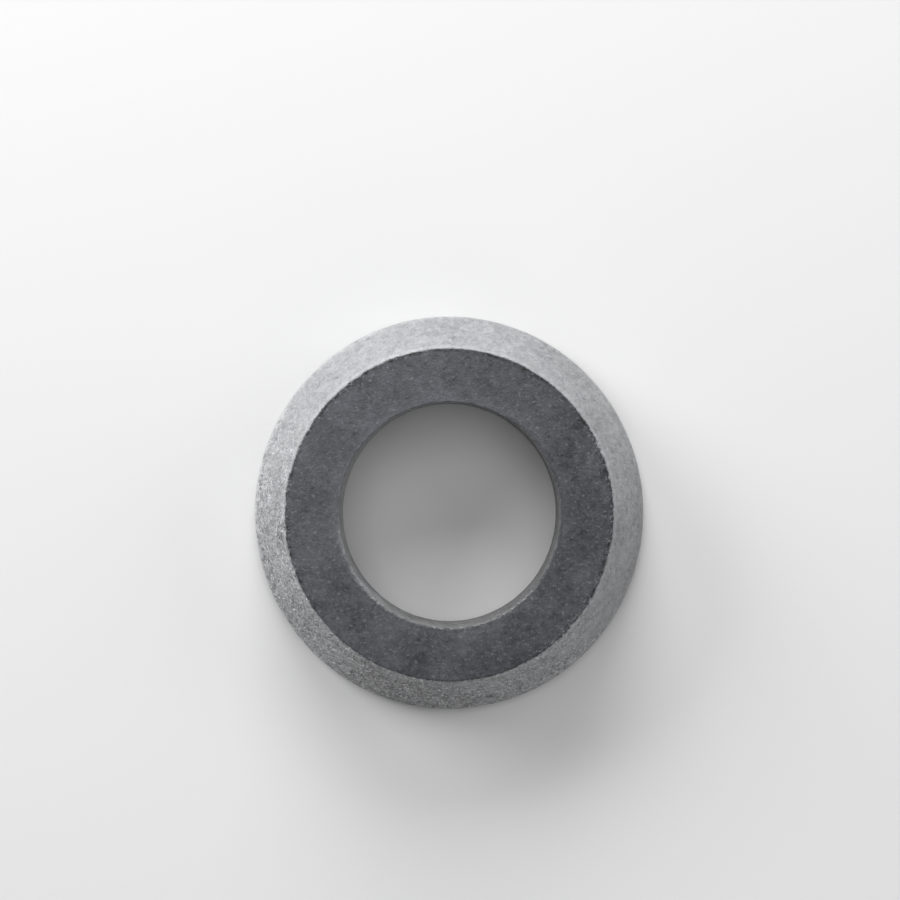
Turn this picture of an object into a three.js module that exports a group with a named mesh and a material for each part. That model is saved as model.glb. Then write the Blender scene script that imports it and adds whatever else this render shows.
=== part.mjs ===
// Flush valve seal: one thick ring of moulded sponge rubber.
// Millimetres, +Z up. The origin is at the middle of the wide face, which lies on z = 0,
// and +Z runs along the bore to the narrow face.
import * as THREE from "three";

// Driving sizes of the ring
const wideDiameter = 94; // across the upright band at the wide end
const narrowDiameter = 77.2; // across the narrow face, to the corner before it is rounded
const boreDiameter = 52; // straight through, for the threaded shank of the valve
const thickness = 25; // wide face to narrow face
const bandHeight = 4.5; // upright band between the wide face and the tapered flank

// Radii of the moulded edges
const boreEdgeRound = 0.8;
const wideEdgeRound = 1;
const flankFootRound = 2;
const narrowEdgeRound = 1.2;

// Fineness of the round surfaces
const stepsPerTurn = 96;
const stepsPerHalfEdge = 2; // each rounded edge has twice as many steps

// Rounds the corner of a section with an arc that touches both of its straight stretches.
// The arc takes at most half of the shorter stretch, so two neighbouring arcs never meet.
function addRoundedCorner(outline, before, corner, after, radius) {
  const toBefore = before.clone().sub(corner);
  const toAfter = after.clone().sub(corner);
  const halfAngle = toBefore.angleTo(toAfter) / 2;
  const room = Math.min(toBefore.length(), toAfter.length()) / 2;
  const reach = Math.min(radius / Math.tan(halfAngle), room);
  const arcRadius = reach * Math.tan(halfAngle);
  const start = toBefore.setLength(reach).add(corner);
  const end = toAfter.setLength(reach).add(corner);
  const inward = start.clone().add(end).divideScalar(2).sub(corner);
  const centre = inward.setLength(arcRadius / Math.sin(halfAngle)).add(corner);
  const startAngle = start.sub(centre).angle();
  const endAngle = end.sub(centre).angle();
  outline.absarc(centre.x, centre.y, arcRadius, startAngle, endAngle, false);
}

// The ring's section, as x = radius and y = height, anticlockwise from the foot of the bore.
function sectionOutline() {
  const boreRadius = boreDiameter / 2;
  const wideRadius = wideDiameter / 2;
  const narrowRadius = narrowDiameter / 2;
  const corners = [
    { at: new THREE.Vector2(boreRadius, 0), round: boreEdgeRound },
    { at: new THREE.Vector2(wideRadius, 0), round: wideEdgeRound },
    { at: new THREE.Vector2(wideRadius, bandHeight), round: flankFootRound },
    { at: new THREE.Vector2(narrowRadius, thickness), round: narrowEdgeRound },
    { at: new THREE.Vector2(boreRadius, thickness), round: boreEdgeRound },
  ];
  const outline = new THREE.Path();
  corners.forEach(({ at, round }, i) => {
    const before = corners.at(i - 1).at;
    const after = corners[(i + 1) % corners.length].at;
    addRoundedCorner(outline, before, at, after, round);
  });
  outline.closePath();
  return outline.getPoints(stepsPerHalfEdge);
}

const spongeRubber = new THREE.MeshStandardMaterial({
  color: 0x565658,
  roughness: 0.9,
  metalness: 0,
});

function sealRing() {
  const ring = new THREE.Mesh(
    new THREE.LatheGeometry(sectionOutline(), stepsPerTurn),
    spongeRubber,
  );
  ring.name = "seal_ring";
  ring.rotation.x = Math.PI / 2; // the lathe turns about Y, and the bore runs along Z
  return ring;
}

const seal = new THREE.Group();
seal.add(sealRing());

export default seal;
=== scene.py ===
import math
import random
import bpy
import bmesh
from mathutils import Matrix, Vector, noise


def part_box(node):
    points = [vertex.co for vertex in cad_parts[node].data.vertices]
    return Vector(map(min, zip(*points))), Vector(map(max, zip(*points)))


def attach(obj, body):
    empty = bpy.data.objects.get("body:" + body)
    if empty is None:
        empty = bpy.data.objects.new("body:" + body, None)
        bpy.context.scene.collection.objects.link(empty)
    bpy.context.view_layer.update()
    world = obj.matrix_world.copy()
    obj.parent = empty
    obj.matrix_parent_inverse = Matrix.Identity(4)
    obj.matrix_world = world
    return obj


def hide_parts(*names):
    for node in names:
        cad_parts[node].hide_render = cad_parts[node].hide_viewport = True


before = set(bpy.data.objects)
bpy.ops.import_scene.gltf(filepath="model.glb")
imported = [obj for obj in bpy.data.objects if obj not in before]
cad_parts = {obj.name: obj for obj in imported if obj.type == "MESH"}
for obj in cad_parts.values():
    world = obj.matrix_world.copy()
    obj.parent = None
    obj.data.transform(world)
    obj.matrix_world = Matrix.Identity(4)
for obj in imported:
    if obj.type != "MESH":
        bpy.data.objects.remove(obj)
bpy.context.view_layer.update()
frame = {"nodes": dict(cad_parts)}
scene = bpy.context.scene
mm = 0.001  # lengths are in metres
print("frame loaded:", ", ".join(frame["nodes"]))


# Camera: straight down on the narrow face, a little off centre as in the photograph
camera = {
    "place": (0.00018, 0.0151, 0.610),
    "lens": 100.7,  # this and the sensor are in millimetres
    "sensor": 36.0,
    "clip": (0.01, 20.0),  # nearest and farthest distance that it sees
}


def makeCamera(c):
    data = bpy.data.cameras.new("camera")
    data.lens = c["lens"]
    data.sensor_width = c["sensor"]
    data.clip_start, data.clip_end = c["clip"]
    cam = bpy.data.objects.new("camera", data)
    cam.location = c["place"]
    scene.collection.objects.link(cam)
    scene.camera = cam


makeCamera(camera)
print("camera ready")


# Node helpers: a value that is a socket is linked, anything else is typed in
def fill(tree, socket, value):
    if isinstance(value, bpy.types.NodeSocket):
        tree.links.new(value, socket)
    else:
        socket.default_value = value


def addNode(tree, kind, inputs=None, **settings):
    node = tree.nodes.new(kind)
    for name, value in settings.items():
        setattr(node, name, value)
    for key, value in (inputs or {}).items():
        fill(tree, node.inputs[key], value)
    return node


def calc(tree, operation, *values):
    node = addNode(tree, "ShaderNodeMath", operation=operation)
    for socket, value in zip(node.inputs, values):
        fill(tree, socket, value)
    return node.outputs[0]


def vectorCalc(tree, operation, *values):
    node = addNode(tree, "ShaderNodeVectorMath", operation=operation)
    for socket, value in zip(node.inputs, values):
        fill(tree, socket, value)
    return node


def fade(tree, value, start, end, low=0.0, high=1.0):  # smooth step from low at start to high at end
    inputs = {"Value": value, "From Min": start, "From Max": end, "To Min": low, "To Max": high}
    return addNode(tree, "ShaderNodeMapRange", inputs, interpolation_type="SMOOTHSTEP").outputs[0]


def blendColours(tree, share, first, second, how="MIX"):
    node = addNode(tree, "ShaderNodeMix", {0: share, 6: first, 7: second}, data_type="RGBA", blend_type=how)
    return node.outputs[2]


def clouds(tree, place, size, detail=2.0, roughness=0.5):  # values round zero, in blotches of this size
    middle = 0.5  # of the noise node's values
    inputs = {"Vector": place, "Scale": 1 / size, "Detail": detail, "Roughness": roughness}
    return calc(tree, "SUBTRACT", addNode(tree, "ShaderNodeTexNoise", inputs).outputs[0], middle)


def spots(tree, place, gap, reach, share):  # soft round spots on a share of the cells, reach in cell widths
    core = 0.4  # a spot is full out to this share of its reach
    pattern = addNode(tree, "ShaderNodeTexVoronoi", {"Vector": place, "Scale": 1 / gap})
    near = fade(tree, pattern.outputs["Distance"], reach, reach * core)
    drawn = addNode(tree, "ShaderNodeSeparateColor", {0: pattern.outputs["Color"]}).outputs[0]
    return calc(tree, "MULTIPLY", near, fade(tree, drawn, 1 - share, 1.0))


def sideways(tree, place, degrees, reach):  # from -1 to 1 across the ring, towards a bearing
    bearing = math.radians(degrees)
    towards = (math.cos(bearing) / reach, math.sin(bearing) / reach, 0)
    return vectorCalc(tree, "DOT_PRODUCT", place, towards).outputs["Value"]


def times(tree, marks, first, *others):  # one mark times some others
    total = marks[first]
    for name in others:
        total = calc(tree, "MULTIPLY", total, marks[name])
    return total


def weighted(tree, start, marks, weights):  # start, plus each named mark times its weight
    total = start
    for name, weight in weights.items():
        total = calc(tree, "MULTIPLY_ADD", marks[name], weight, total)
    return total


def newMaterial(name):
    material = bpy.data.materials.new(name)
    material.use_nodes = True
    material.node_tree.nodes.clear()
    return material, material.node_tree


# The ring: its section follows the solid that it stands for
solid = frame["nodes"]["seal_ring"]
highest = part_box("seal_ring")[1]
ring = {
    "wideRadius": highest.x,
    "boreRadius": min(vert.co.xy.length for vert in solid.data.vertices),
    "narrowRadius": 38.6 * mm,
    "thickness": highest.z,
    "bandHeight": 4.5 * mm,
    "edges": {  # radius of each rounded edge, and its number of steps
        "boreFoot": (0.8 * mm, 3),
        "base": (1.0 * mm, 4),
        "flankFoot": (1.4 * mm, 4),
        "rim": (0.6 * mm, 6),
        "lip": (0.4 * mm, 4),
    },
    "spacings": {  # distance between the section's points on each straight stretch
        "base": 1.7 * mm,
        "band": 0.45 * mm,
        "flank": 0.38 * mm,
        "face": 0.33 * mm,
        "bore": 1.25 * mm,
    },
    "stepsPerTurn": 640,
    "doublings": 4,  # the turned sector is doubled this many times
    "mergeDistance": 0.001 * mm,
}


def stretchAt(r, place):
    near = 0.1 * mm
    if place.z < near:
        return "base"
    if place.z > r["thickness"] - near:
        return "face"
    if place.x < r["boreRadius"] + near:
        return "bore"
    return "band" if place.z < r["bandHeight"] else "flank"


def makeSection(r):
    bm = bmesh.new()
    corners = {
        "boreFoot": (r["boreRadius"], 0, 0),
        "base": (r["wideRadius"], 0, 0),
        "flankFoot": (r["wideRadius"], 0, r["bandHeight"]),
        "rim": (r["narrowRadius"], 0, r["thickness"]),
        "lip": (r["boreRadius"], 0, r["thickness"]),
    }
    points = {name: bm.verts.new(place) for name, place in corners.items()}
    bm.faces.new(points.values())
    for name, (radius, steps) in r["edges"].items():
        bmesh.ops.bevel(
            bm, geom=[points[name]], offset=radius, offset_type="OFFSET", segments=steps,
            profile=0.5, affect="VERTICES", material=-1,
        )
    bmesh.ops.delete(bm, geom=bm.faces[:], context="FACES_ONLY")
    for edge in bm.edges[:]:
        middle = (edge.verts[0].co + edge.verts[1].co) / 2
        cuts = round(edge.calc_length() / r["spacings"][stretchAt(r, middle)]) - 1
        if cuts > 0:
            bmesh.ops.subdivide_edges(bm, edges=[edge], cuts=cuts)
    return bm


def turnSection(bm, r):  # one small sector is spun, then doubled with turned copies
    turn = math.tau / 2 ** r["doublings"]
    bmesh.ops.spin(
        bm, geom=bm.verts[:] + bm.edges[:], cent=(0, 0, 0), axis=(0, 0, 1), dvec=(0, 0, 0), angle=turn,
        steps=r["stepsPerTurn"] // 2 ** r["doublings"], use_merge=False, use_duplicate=False,
    )
    for k in range(r["doublings"]):
        copy = bmesh.ops.duplicate(bm, geom=bm.verts[:] + bm.edges[:] + bm.faces[:])["geom"]
        copied = [part for part in copy if isinstance(part, bmesh.types.BMVert)]
        bmesh.ops.rotate(bm, verts=copied, cent=(0, 0, 0), matrix=Matrix.Rotation(turn * 2 ** k, 3, "Z"))
    bmesh.ops.remove_doubles(bm, verts=bm.verts[:], dist=r["mergeDistance"])
    bmesh.ops.recalc_face_normals(bm, faces=bm.faces[:])
    bm.normal_update()


# Relief of the moulded sponge: soft swells, dents in the flank, nicks along the rim and a ragged lip
relief = {
    "swells": (  # size, height
        (24 * mm, 0.07 * mm),
        (7 * mm, 0.035 * mm),
        (2.1 * mm, 0.03 * mm),
        (1.0 * mm, 0.022 * mm),
    ),
    "dentGap": 2.3 * mm,
    "dentReach": (0.35 * mm, 0.75 * mm),
    "dentDepth": 0.18 * mm,
    "dentStretch": 0.55,  # dents are longer up the slope
    "dentDraw": 7.3,  # any uneven factor draws one number for each cell
    "nickCount": 200,
    "nickSpan": (math.radians(-40), math.radians(215)),  # the lower part of the rim is nearly whole
    "nickWidth": (0.15 * mm, 0.55 * mm),
    "nickDepth": (0.05 * mm, 0.2 * mm),
    "nickReach": 0.25 * mm,
    "nickInset": 0.35 * mm,  # from the rim's corner inwards
    "nickSink": 0.12 * mm,  # below the face
    "nickWander": 0.55 * mm,
    "lipGrain": 0.8 * mm,
    "lipDepth": 0.13 * mm,
    "lipReach": 0.5 * mm,
    "lipInset": 0.1 * mm,
    "bellEnd": 3,  # past this many reaches a bell is taken as nothing
    "oval": 0.25 * mm,  # the soft ring is squeezed this much on each side along X, and fuller along Y
    "seed": 11,
}


def bell(distance, reach):
    return math.exp(-(distance / reach) ** 2)


def drawNicks(f, rimPlace):  # angle, width, depth and middle of each nick
    draw = random.Random(f["seed"])
    nicks = []
    for _ in range(f["nickCount"]):
        angle = draw.uniform(*f["nickSpan"])
        width = draw.uniform(*f["nickWidth"])
        depth = draw.uniform(*f["nickDepth"])
        wander = draw.uniform(-1, 1) * f["nickWander"]
        nicks.append((angle, width, depth, rimPlace + Vector((wander, 0))))
    return nicks


def dentAt(place, f):
    squeezed = Vector((place.x, place.y, place.z * f["dentStretch"]))
    distances, points = noise.voronoi(squeezed / f["dentGap"])
    draw = noise.cell(points[0] * f["dentDraw"])  # from -1 to 1
    if draw < 0:  # half of the cells have no dent
        return 0
    low, high = f["dentReach"]
    return bell(distances[0] * f["dentGap"], low + (high - low) * draw)


def squeeze(place, most):  # a ring pressed from two sides keeps its length
    angle = math.atan2(place.y, place.x)
    outwards = Vector((math.cos(angle), math.sin(angle), 0))
    onwards = Vector((-math.sin(angle), math.cos(angle), 0))
    return (onwards * math.sin(2 * angle) / 2 - outwards * math.cos(2 * angle)) * most


def addRelief(bm, r, f):
    rimPlace = Vector((r["narrowRadius"] - f["nickInset"], r["thickness"] - f["nickSink"]))
    lipPlace = Vector((r["boreRadius"] + f["lipInset"], r["thickness"] - f["lipInset"]))
    nicks = drawNicks(f, rimPlace)
    nickZone = f["bellEnd"] * f["nickReach"] + f["nickWander"]
    plainPlace = bm.verts.layers.float_vector.new("plainPlace")  # where the surface was before the relief
    nickShare = bm.verts.layers.float.new("nickShare")
    dentShare = bm.verts.layers.float.new("dentShare")
    for vert in bm.verts:
        vert[plainPlace] = vert.co
        section = Vector((vert.co.xy.length, vert.co.z))
        shift = sum(height * noise.noise(vert.co / size) for size, height in f["swells"])
        if section.x > r["narrowRadius"] and vert.co.z > r["bandHeight"]:
            vert[dentShare] = dentAt(vert.co, f)
            shift -= f["dentDepth"] * vert[dentShare]
        if (section - rimPlace).length < nickZone:
            angle = math.atan2(vert.co.y, vert.co.x)
            for nickAngle, width, depth, middle in nicks:
                apart = abs(math.remainder(angle - nickAngle, math.tau)) * section.x
                if apart < f["bellEnd"] * width:
                    share = bell(apart, width) * bell((section - middle).length, f["nickReach"])
                    vert[nickShare] = max(vert[nickShare], share)
                    shift -= depth * share
        toLip = (section - lipPlace).length
        if toLip < f["bellEnd"] * f["lipReach"]:
            shift += f["lipDepth"] * noise.noise(vert.co / f["lipGrain"]) * bell(toLip, f["lipReach"])
        vert.co += vert.normal * shift
        vert.co += squeeze(vert[plainPlace], f["oval"])
        vert.co.z = max(vert.co.z, 0)


# Colour and finish of the sponge
sponge = {
    "faceColour": (0.0680, 0.0704, 0.0793, 1),
    "wallColour": (0.1080, 0.1090, 0.1120, 1),
    # painted highlight: the lip of the bore is painted lighter on the side that faces the lamps
    "lipHighlightColour": (0.165, 0.166, 0.169, 1),
    "skinColour": (0.2815, 0.287, 0.2975, 1),
    # painted highlight along the foot of the flank, on its lit side
    "edgeHighlightColour": (0.43, 0.43, 0.44, 1),
    # pale flecks and painted glints on the rough side of the flank
    "fleckAndGlintColour": (0.80, 0.80, 0.80, 1),
    "skinStretch": 0.5,  # patterns on the flank are drawn out along its slope
    "wallStretch": 0.3,  # and those in the bore along it
    "wallFlecks": 0.35,  # share of the flecks' strength that is left in the bore
    "clouds": {  # spacing, detail, roughness
        "drift": (20 * mm, 3, 0.5),
        "cloudy": (6 * mm, 3, 0.5),
        "mottle": (1.5 * mm, 4, 0.6),
        "grain": (0.6 * mm, 3, 0.65),
        "fine": (0.32 * mm, 2, 0.7),
    },
    "flecks": {  # spacing, and the height of the clouds from which a fleck shows to where it is full
        "clusters": (4.5 * mm, 0.0, 0.12),
        "paleFlecks": (1.0 * mm, 0.07, 0.19),
        "brightFlecks": (0.6 * mm, 0.135, 0.22),
        "crumbs": (0.7 * mm, 0.05, 0.14),
        "skinFlecks": (0.62 * mm, 0.09, 0.15),
        "skinPits": (0.62 * mm, -0.09, -0.17),
    },
    "fleckClouds": (3, 0.6),  # detail and roughness of those clouds
    "spots": {  # spacing, reach in spacings, share of the cells
        "brightSpots": (1.3 * mm, 0.3, 0.5),
        "darkSpots": (1.1 * mm, 0.36, 0.45),
        "pores": (0.75 * mm, 0.33, 0.5),
    },
    "frays": {  # spacing, detail, roughness and reach of the uneven borders
        "fine": (0.6 * mm, 2, 0.6, 1.1 * mm),
        "coarse": (1.7 * mm, 2, 0.5, 1.6 * mm),
        "lip": (1.1 * mm, 3, 0.6, 3.0 * mm),
    },
    "zones": {  # the distance that a zone goes by, where it begins and where it is full
        "face": ("pastRim", 0.2 * mm, -0.25 * mm),
        "base": ("aboveBase", 0.7 * mm, 0.35 * mm),
        "wallSide": ("pastBore", 0.9 * mm, 0.3 * mm),
        "wallTop": ("belowTop", 0.1 * mm, 0.4 * mm),
        "wallDeep": ("belowTop", 4 * mm, 22 * mm),
        "outer": ("pastBore", 2 * mm, 5 * mm),
        "rimShade": ("pastRim", -3.5 * mm, -0.5 * mm),
        "rimCrumble": ("pastRim", -2.0 * mm, -0.1 * mm),
        # painted shadow: a darker band just inside the rim, on the upper side
        "rimLine": ("pastRim", -1.3 * mm, -0.6 * mm),
        # painted highlight: a paler strip on the flank just below the rim
        "skinTopHighlight": ("pastRim", 3.4 * mm, 1.2 * mm),
        "worn": ("pastBore", 4.5 * mm, 0.0),
        # painted light: the lip's bevel is painted lighter on the side where it lies in shade
        "lipBright": ("pastBore", 1.2 * mm, 0.3 * mm),
        "lipSide": ("pastLip", 0.7 * mm, 0.35 * mm),
        "lipTop": ("belowTop", 4.0 * mm, 0.5 * mm),
        "lipCrumble": ("pastBore", 2.0 * mm, 0.5 * mm),
        "edgeTop": ("aboveBand", 2.6 * mm, 0.4 * mm),
        "edgeFoot": ("aboveBand", -0.6 * mm, -0.3 * mm),
    },
    "sides": {  # bearing in degrees, then where a side begins and is full, from -1 to 1 across the ring
        "rough": (240, -0.4, 0.85),
        # the next three paint light and shade into the flank by side: darker lower left, lighter left,
        # darker right
        "paintedShadeLowerLeft": (234, 0.7, 0.95),
        "paintedLightLeft": (198, 0.8, 1.0),
        "paintedShadeRight": (22, 0.5, 0.95),
        "lipLit": (260, 0.1, 0.6),
        "lipFillSide": (140, 0.05, 0.6),
        "rimShadowSide": (105, 0.2, 0.8),
        "edgeLit": (160, 0.1, 0.8),
    },
    "oppositeSides": {  # the same for a bearing and its opposite
        "crumbling": (165, 0.3, 1.0),
    },
    "leans": {  # bearing in degrees from +X towards which the colour is painted lighter, as painted light
        "faceLightLean": 135,
        "wallPaintedLightLean": 165,
    },
    "sideSize": 11 * mm,  # spacing of the clouds that break up the sides
    "sideSpread": 2.0,  # how strongly they shift the sides' borders
    "faceTones": {
        "drift": 0.9,
        "cloudy": 1.05,
        "mottle": 1.1,
        "grain": 0.92,
        "fine": 0.6,
        "paleFlecks": 0.75,
        "brightFlecks": 1.2,
        "glints": 1.2,
        "darkSpots": -0.25,
        "pores": -0.2,
        "rimShade": -0.12,
        "worn": 0.2,
        # painted light on the shaded side of the lip's bevel
        "lipPaintedFill": 0.8,
        # painted shadow along the inside of the rim, on the upper side
        "rimPaintedShadow": -0.3,
        # painted light: the face is lighter towards the upper left and darker towards the lower right
        "faceLightLean": 0.2,
        # painted light and shade on the bore's wall by side
        "wallPaintedLight": 0.76,
        # painted light deep in the bore, where shade falls
        "wallPaintedFill": 0.5,
        "wallGrain": 0.35,
        # painted shade in the nicks along the rim
        "nick": -0.95,
    },
    "skinTones": {
        "drift": 0.4,
        "cloudy": 0.4,
        "mottle": 1.0,
        "grain": 0.8,
        "fine": 0.7,
        "roughMottle": 1.1,
        "roughGrain": 1.7,
        "roughFine": 1.7,
        "roughPits": -0.45,
        # painted highlight: a paler strip on the flank just below the rim
        "skinTopHighlight": 0.17,
        # painted light and shade on the flank by side: darker lower left, lighter left, darker right
        "paintedShadeLowerLeft": -0.17,
        "paintedLightLeft": 0.12,
        "paintedShadeRight": -0.09,
        "darkSpots": -0.12,
        "pores": -0.2,
        # painted shade in the dents and nicks of the flank
        "dent": -0.25,
        "nick": -0.4,
    },
    "lumps": {
        "mottle": 0.7,
        "grain": 0.8,
        "fine": 0.5,
        "paleFlecks": 0.1,
        "darkSpots": -0.2,
        "pores": -0.3,
    },
    "ragged": {  # height of the grain from and to, and the share that it gives
        "lip": (-0.12, 0.1, 0.1, 1.0),
        "edge": (-0.15, 0.2, 0.25, 0.75),
    },
    "darkestTone": 0.15,  # no mark takes a colour below this share of it
    "crumbShare": 0.55,
    "lipHighlightCrumbShare": 0.6,
    "fleckAndGlintShare": 0.85,
    "lumpMiddle": 0.5,  # where the surface without lumps lies, in bump heights
    "bumpHeight": 0.3 * mm,
    "bumpStrength": 0.8,
    "faceRoughness": 0.88,
    "skinRoughness": 0.6,
    "ior": 1.5,
    "sheen": 0.12,
    "sheenRoughness": 0.5,
}


def addZones(tree, marks, place, r, s):  # where each finish lies, with frayed borders
    plain = addNode(tree, "ShaderNodeAttribute", attribute_name="plainPlace").outputs["Vector"]
    flat = vectorCalc(tree, "MULTIPLY", plain, (1, 1, 0)).outputs[0]
    radius = vectorCalc(tree, "LENGTH", flat).outputs["Value"]
    height = addNode(tree, "ShaderNodeSeparateXYZ", {0: plain}).outputs["Z"]
    broken = calc(tree, "MULTIPLY", clouds(tree, place, s["sideSize"]), s["sideSpread"])
    for name, (bearing, start, end) in s["sides"].items():
        across = sideways(tree, plain, bearing, r["narrowRadius"])
        marks[name] = fade(tree, calc(tree, "ADD", across, broken), start, end)
    for name, (bearing, start, end) in s["oppositeSides"].items():
        across = calc(tree, "ABSOLUTE", sideways(tree, plain, bearing, r["narrowRadius"]))
        marks[name] = fade(tree, calc(tree, "ADD", across, broken), start, end)
    for name, bearing in s["leans"].items():
        marks[name] = sideways(tree, plain, bearing, r["narrowRadius"])
    frays = {}
    for name, (size, detail, roughness, reach) in s["frays"].items():
        frays[name] = calc(tree, "MULTIPLY", clouds(tree, place, size, detail, roughness), reach)
    fray = frays["fine"]
    belowTop = calc(tree, "SUBTRACT", r["thickness"], height)
    pastRim = calc(tree, "ADD", calc(tree, "SUBTRACT", radius, r["narrowRadius"]), belowTop)
    pastRim = calc(tree, "ADD", pastRim, fray)
    distances = {
        "pastRim": calc(tree, "MULTIPLY_ADD", frays["coarse"], marks["crumbling"], pastRim),
        "belowTop": calc(tree, "ADD", belowTop, fray),
        "aboveBase": calc(tree, "ADD", height, fray),
        "aboveBand": calc(tree, "ADD", calc(tree, "SUBTRACT", height, r["bandHeight"]), fray),
        "pastBore": calc(tree, "ADD", calc(tree, "SUBTRACT", radius, r["boreRadius"]), fray),
    }
    distances["pastLip"] = calc(tree, "ADD", distances["pastBore"], frays["lip"])
    for name, (distance, start, end) in s["zones"].items():
        marks[name] = fade(tree, distances[distance], start, end)
    covered = calc(tree, "MAXIMUM", marks["face"], marks["base"])
    marks["skin"] = calc(tree, "MULTIPLY", calc(tree, "SUBTRACT", 1.0, covered), marks["outer"])
    marks["wall"] = times(tree, marks, "wallSide", "wallTop")
    # painted light and shade in the bore: lighter on the shaded side towards 165 degrees, darker on the lit
    # side opposite
    marks["wallPaintedLight"] = times(tree, marks, "wallPaintedLightLean", "wall")
    # painted light: the bore's wall is painted lighter deeper down, where shade falls
    marks["wallPaintedFill"] = times(tree, marks, "wallDeep", "wallSide")
    # painted highlight on the lip, only on the side that faces the lamps
    marks["lip"] = times(tree, marks, "lipSide", "lipTop", "lipLit")
    marks["lipHighlightCrumbling"] = times(tree, marks, "lipCrumble", "lipLit")
    # painted light on the lip's bevel, on the side that lies in shade
    marks["lipPaintedFill"] = times(tree, marks, "lipBright", "lipFillSide")
    marks["rimCrumbling"] = times(tree, marks, "rimCrumble", "crumbling")
    # painted shadow along the inside of the rim, on the upper side
    marks["rimPaintedShadow"] = times(tree, marks, "rimLine", "rimShadowSide")
    # painted highlight along the foot of the flank, only where it faces the lamps
    marks["edge"] = times(tree, marks, "edgeTop", "edgeFoot", "edgeLit")


def addPatterns(tree, marks, place, s):  # clouds, ragged flecks and round spots
    stretch = calc(tree, "MULTIPLY_ADD", marks["skin"], s["skinStretch"] - 1, 1.0)
    stretch = calc(tree, "MULTIPLY_ADD", marks["wallSide"], s["wallStretch"] - 1, stretch)
    steep = addNode(tree, "ShaderNodeCombineXYZ", {0: 1.0, 1: 1.0, 2: stretch}).outputs[0]
    along = vectorCalc(tree, "MULTIPLY", place, steep).outputs[0]
    for name, (size, detail, roughness) in s["clouds"].items():
        marks[name] = clouds(tree, along, size, detail, roughness)
    for name, (size, start, end) in s["flecks"].items():
        marks[name] = fade(tree, clouds(tree, along, size, *s["fleckClouds"]), start, end)
    for name, (gap, reach, share) in s["spots"].items():
        marks[name] = spots(tree, along, gap, reach, share)
    marks["glints"] = times(tree, marks, "brightSpots", "clusters")
    fleckShare = calc(tree, "MULTIPLY_ADD", marks["wall"], s["wallFlecks"] - 1, 1.0)  # fainter in the bore
    for name in ("paleFlecks", "brightFlecks", "glints"):
        marks[name] = calc(tree, "MULTIPLY", marks[name], fleckShare)
    marks["roughMottle"] = times(tree, marks, "mottle", "rough")
    marks["roughGrain"] = times(tree, marks, "grain", "rough")
    marks["roughFine"] = times(tree, marks, "fine", "rough")
    marks["roughPits"] = times(tree, marks, "skinPits", "rough")
    marks["wallGrain"] = times(tree, marks, "grain", "wall")
    for name in ("nick", "dent"):
        marks[name] = addNode(tree, "ShaderNodeAttribute", attribute_name=name + "Share").outputs["Fac"]


def toned(tree, colour, marks, weights, lowest):  # a colour times a tone of its own
    tone = calc(tree, "MAXIMUM", weighted(tree, 1.0, marks, weights), lowest)
    return blendColours(tree, 1.0, colour, tone, "MULTIPLY")


def darkSponge(tree, marks, s):  # the cut face, the bore and the base
    colour = blendColours(tree, marks["wall"], s["faceColour"], s["wallColour"])
    # the lip's painted highlight and its crumbs, on the lit side only
    lipHighlightShare = calc(tree, "MULTIPLY", marks["lip"], fade(tree, marks["grain"], *s["ragged"]["lip"]))
    lipHighlightCrumbs = calc(tree, "MULTIPLY", times(tree, marks, "lipHighlightCrumbling", "crumbs"), s["lipHighlightCrumbShare"])
    lipHighlightShare = calc(tree, "MAXIMUM", lipHighlightShare, lipHighlightCrumbs)
    colour = blendColours(tree, lipHighlightShare, colour, s["lipHighlightColour"])
    colour = toned(tree, colour, marks, s["faceTones"], s["darkestTone"])
    crumbShare = calc(tree, "MULTIPLY", times(tree, marks, "rimCrumbling", "crumbs"), s["crumbShare"])
    return blendColours(tree, crumbShare, colour, s["skinColour"])


def paleSkin(tree, marks, s):  # the dusty skin of the flank and the band
    # the painted highlight along the flank's foot, broken up by the grain
    edgeHighlightShare = calc(tree, "MULTIPLY", marks["edge"], fade(tree, marks["grain"], *s["ragged"]["edge"]))
    colour = blendColours(tree, edgeHighlightShare, s["skinColour"], s["edgeHighlightColour"])
    colour = toned(tree, colour, marks, s["skinTones"], s["darkestTone"])
    # pale flecks and painted glints, on the rough side of the flank
    flecksAndGlints = calc(tree, "MAXIMUM", marks["skinFlecks"], marks["glints"])
    fleckAndGlintShare = calc(tree, "MULTIPLY", calc(tree, "MULTIPLY", flecksAndGlints, marks["rough"]), s["fleckAndGlintShare"])
    return blendColours(tree, fleckAndGlintShare, colour, s["fleckAndGlintColour"])


def spongeRubber(r, s):
    material, tree = newMaterial("spongeRubber")
    place = addNode(tree, "ShaderNodeTexCoord").outputs["Object"]
    marks = {}
    addZones(tree, marks, place, r, s)
    addPatterns(tree, marks, place, s)
    colour = blendColours(tree, marks["skin"], darkSponge(tree, marks, s), paleSkin(tree, marks, s))
    lumps = weighted(tree, s["lumpMiddle"], marks, s["lumps"])
    bump = addNode(tree, "ShaderNodeBump", {
        "Strength": s["bumpStrength"],
        "Distance": s["bumpHeight"],
        "Height": lumps,
    })
    shader = addNode(tree, "ShaderNodeBsdfPrincipled", {
        "Base Color": colour,
        "Roughness": fade(tree, marks["skin"], 0.0, 1.0, s["faceRoughness"], s["skinRoughness"]),
        "Normal": bump.outputs[0],
        "IOR": s["ior"],
        "Sheen Weight": s["sheen"],
        "Sheen Roughness": s["sheenRoughness"],
    })
    addNode(tree, "ShaderNodeOutputMaterial", {"Surface": shader.outputs[0]})
    return material


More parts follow.
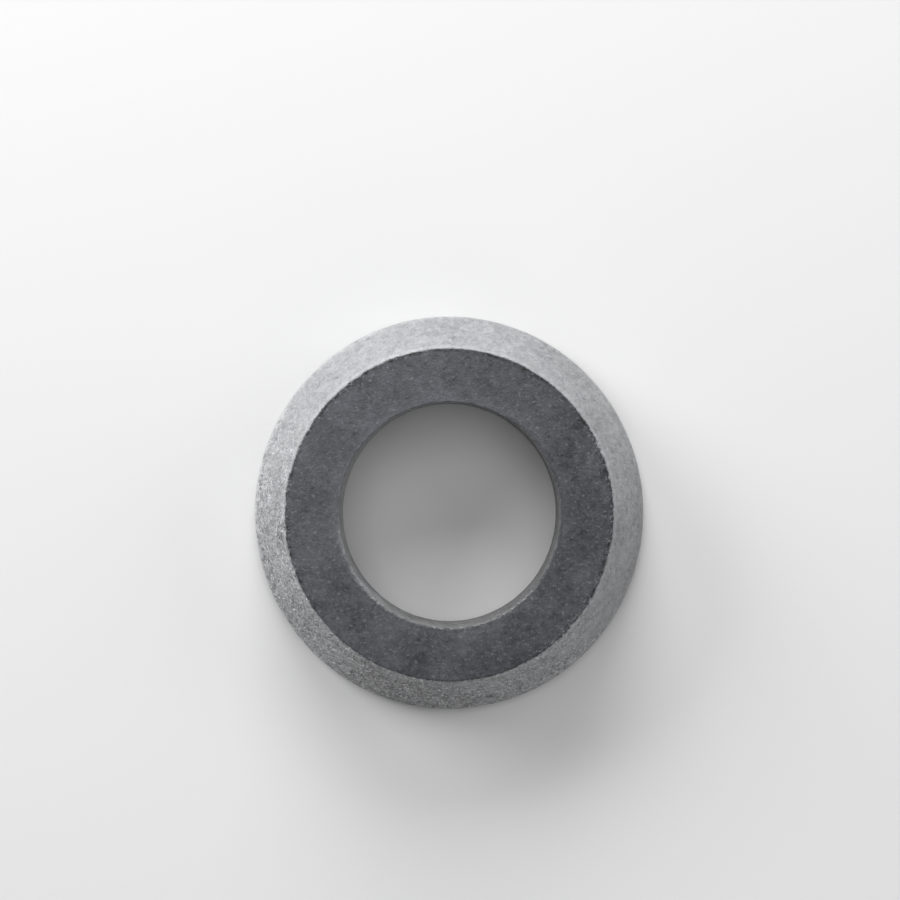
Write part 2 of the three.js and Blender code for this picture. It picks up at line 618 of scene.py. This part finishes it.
def makeSeal(r, f, s):
    bm = makeSection(r)
    print("section points:", len(bm.verts))
    turnSection(bm, r)
    addRelief(bm, r, f)
    for face in bm.faces:
        face.smooth = True
    mesh = bpy.data.meshes.new("sealRing")
    bm.to_mesh(mesh)
    bm.free()
    seal = bpy.data.objects.new("sealRing", mesh)
    scene.collection.objects.link(seal)
    mesh.materials.append(spongeRubber(r, s))
    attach(seal, "root")
    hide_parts("seal_ring")
    print("seal ring made:", len(mesh.polygons), "faces")


makeSeal(ring, relief, sponge)


# Floor
floor = {
    "halfSize": 4.0,
    "drop": 0.05 * mm,
    "colour": (0.78, 0.78, 0.78, 1),
    "roughness": 0.9,
}


def makeFloor(f):
    bm = bmesh.new()
    bmesh.ops.create_grid(bm, x_segments=1, y_segments=1, size=f["halfSize"])
    bmesh.ops.translate(bm, verts=bm.verts[:], vec=(0, 0, -f["drop"]))
    mesh = bpy.data.meshes.new("floor")
    bm.to_mesh(mesh)
    bm.free()
    plane = bpy.data.objects.new("floor", mesh)
    scene.collection.objects.link(plane)
    material, tree = newMaterial("paleFloor")
    finish = {"Base Color": f["colour"], "Roughness": f["roughness"]}
    shader = addNode(tree, "ShaderNodeBsdfPrincipled", finish)
    addNode(tree, "ShaderNodeOutputMaterial", {"Surface": shader.outputs[0]})
    mesh.materials.append(material)


makeFloor(floor)


# Light: four soft panels round the ring, one overhead, and an even fill
lights = {
    "world": 0.16,  # strength of the even fill
    "worldColour": (1, 1, 1, 1),
    "aim": (0, 0, 12 * mm),
    "panels": {  # bearing from +X in degrees, height in degrees, distance, side, power
        "back": (95, 24, 1.2, 0.7, 13.5),
        "left": (145, 24, 1.2, 0.6, 8.5),
        "right": (15, 30, 1.2, 0.6, 2.4),
        "near": (290, 35, 1.2, 0.6, 1.2),
        "over": (100, 75, 1.4, 0.9, 4.6),
    },
}


def makeLights(rig):
    aim = Vector(rig["aim"])
    for name, (bearing, rise, distance, side, power) in rig["panels"].items():
        data = bpy.data.lights.new(name + "Panel", "AREA")
        data.shape = "SQUARE"
        data.size = side
        data.energy = power
        panel = bpy.data.objects.new(name + "Panel", data)
        across = distance * math.cos(math.radians(rise))
        panel.location = aim + Vector((
            across * math.cos(math.radians(bearing)),
            across * math.sin(math.radians(bearing)),
            distance * math.sin(math.radians(rise)),
        ))
        panel.rotation_euler = (aim - panel.location).to_track_quat("-Z", "Y").to_euler()
        panel.visible_camera = False
        scene.collection.objects.link(panel)
    world = bpy.data.worlds.new("studio")
    world.use_nodes = True
    background = world.node_tree.nodes["Background"]
    background.inputs["Color"].default_value = rig["worldColour"]
    background.inputs["Strength"].default_value = rig["world"]
    scene.world = world


makeLights(lights)
scene.view_settings.view_transform = "Standard"
print("stage and light ready")
